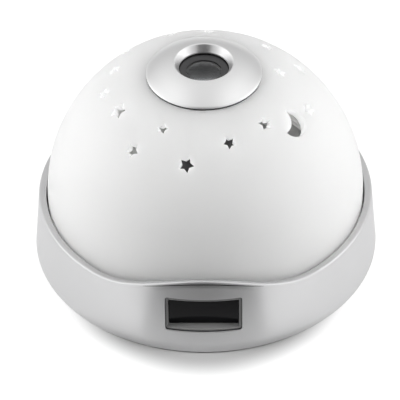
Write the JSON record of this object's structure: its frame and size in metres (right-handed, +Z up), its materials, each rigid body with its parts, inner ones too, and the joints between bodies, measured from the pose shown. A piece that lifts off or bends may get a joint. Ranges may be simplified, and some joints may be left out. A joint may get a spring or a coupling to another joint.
{
  "type": "projection clock",
  "caption": "Low round clock with a pierced press dome in a silver base ring, a brow over a small recessed display, and a focus ring round a projection lens on top.",
  "frame": {"origin": "centre of the base's footprint, on the table", "axes": "+Z up, the display faces -Y, +X to the right of someone who looks at the display"},
  "size_m": [0.112, 0.112, 0.0728],
  "materials": {
    "silver_paint": "silver metallic paint, satin",
    "dome_white": "white translucent moulding, soft gloss",
    "ring_silver": "bright silver plating, satin outside, polished bowl",
    "bezel_grey": "grey, satin",
    "cover_grey": "dark grey, fine spark texture",
    "key_grey": "grey, satin",
    "black_plastic": "black",
    "white_plastic": "white",
    "display_dark": "dark clear plate",
    "lcd_glass": "display cell",
    "lens_glass": "coated lens",
    "pcb_green": "solder mask",
    "chip_black": "moulded chips",
    "steel": "zinc plated",
    "cell_wrap": "printed wrap, bare",
    "rubber": "foot pads",
    "led_clear": "clear and phosphor",
    "red_plastic": "plunger"
  },
  "bodies": {
    "base": {"base_shell": "silver_paint", "bottom_cover": "cover_grey", "bottom_screws": "steel", "feet": "rubber", "battery_cells": "cell_wrap", "battery_contacts": "steel", "speaker": "black_plastic", "speaker_cone": "black_plastic", "lcd_bezel": "bezel_grey", "display_lens": "display_dark", "lcd_cell": "lcd_glass", "lcd_backlight": "white_plastic", "lcd_holder": "white_plastic", "main_pcb": "pcb_green", "pcb_components": "chip_black", "snooze_switch": "black_plastic", "key_board": "pcb_green", "key_switches": "black_plastic", "slide_switch": "black_plastic", "reflector_deck": "white_plastic", "deck_screws": "steel", "light_board": "white_plastic", "light_leds": "led_clear", "dome_springs": "steel"},
    "dome_body": {"dome": "dome_white", "dome_carrier": "white_plastic", "dome_screws": "steel", "snooze_plunger": "red_plastic", "projector_tube": "black_plastic", "tube_screws": "steel", "projection_slide": "lcd_glass", "condenser_lens": "lens_glass", "projector_base": "black_plastic", "projector_led_board": "pcb_green", "projector_led": "led_clear"},
    "ring_body": {"focus_ring": "ring_silver", "ring_clip": "steel"},
    "lens_body": {"lens_cell": "black_plastic", "front_lens": "lens_glass", "rear_lens": "lens_glass"},
    "mode_key_body": {"mode_key": "key_grey", "mode_plunger": "red_plastic"},
    "set_key_body": {"set_key": "key_grey", "set_plunger": "red_plastic"},
    "up_key_body": {"up_key": "key_grey", "up_plunger": "red_plastic"},
    "down_key_body": {"down_key": "key_grey", "down_plunger": "red_plastic"},
    "knob_body": {"switch_knob": "black_plastic"},
    "door_body": {"battery_door": "cover_grey"}
  },
  "joints": [
    {"name": "dome_press", "type": "slide", "parent": "base", "child": "dome_body", "axis": [0, 0, -1], "range_m": [0, 0.0012], "stiffness_N_per_m": 600, "springref_m": -0.004, "deforming": ["dome_springs"]},
    {"name": "focus_turn", "type": "hinge", "parent": "dome_body", "child": "ring_body", "pos_m": [0, 0, 0.0707], "axis": [0, 0, 1], "range_deg": [-45, 45]},
    {"name": "lens_slide", "type": "slide", "parent": "ring_body", "child": "lens_body", "axis": [0, 0, 1], "range_m": [-0.0008, 0.0008]},
    {"name": "mode_press", "type": "slide", "parent": "base", "child": "mode_key_body", "axis": [0, -1, 0], "range_m": [0, 0.0008], "stiffness_N_per_m": 400, "springref_m": -0.0008},
    {"name": "set_press", "type": "slide", "parent": "base", "child": "set_key_body", "axis": [0, -1, 0], "range_m": [0, 0.0008], "stiffness_N_per_m": 400, "springref_m": -0.0008},
    {"name": "up_press", "type": "slide", "parent": "base", "child": "up_key_body", "axis": [0, -1, 0], "range_m": [0, 0.0008], "stiffness_N_per_m": 400, "springref_m": -0.0008},
    {"name": "down_press", "type": "slide", "parent": "base", "child": "down_key_body", "axis": [0, -1, 0], "range_m": [0, 0.0008], "stiffness_N_per_m": 400, "springref_m": -0.0008},
    {"name": "switch_slide", "type": "slide", "parent": "base", "child": "knob_body", "axis": [1, 0, 0], "range_m": [0, 0.003]},
    {"name": "door_swing", "type": "hinge", "parent": "base", "child": "door_body", "pos_m": [0, 0.01965, 0.0023], "axis": [1, 0, 0], "range_deg": [0, 80]}
  ],
  "couplings": [
    {"joint": "lens_slide", "follows": "focus_turn", "m_per_rad": 0.0010185}
  ]
}
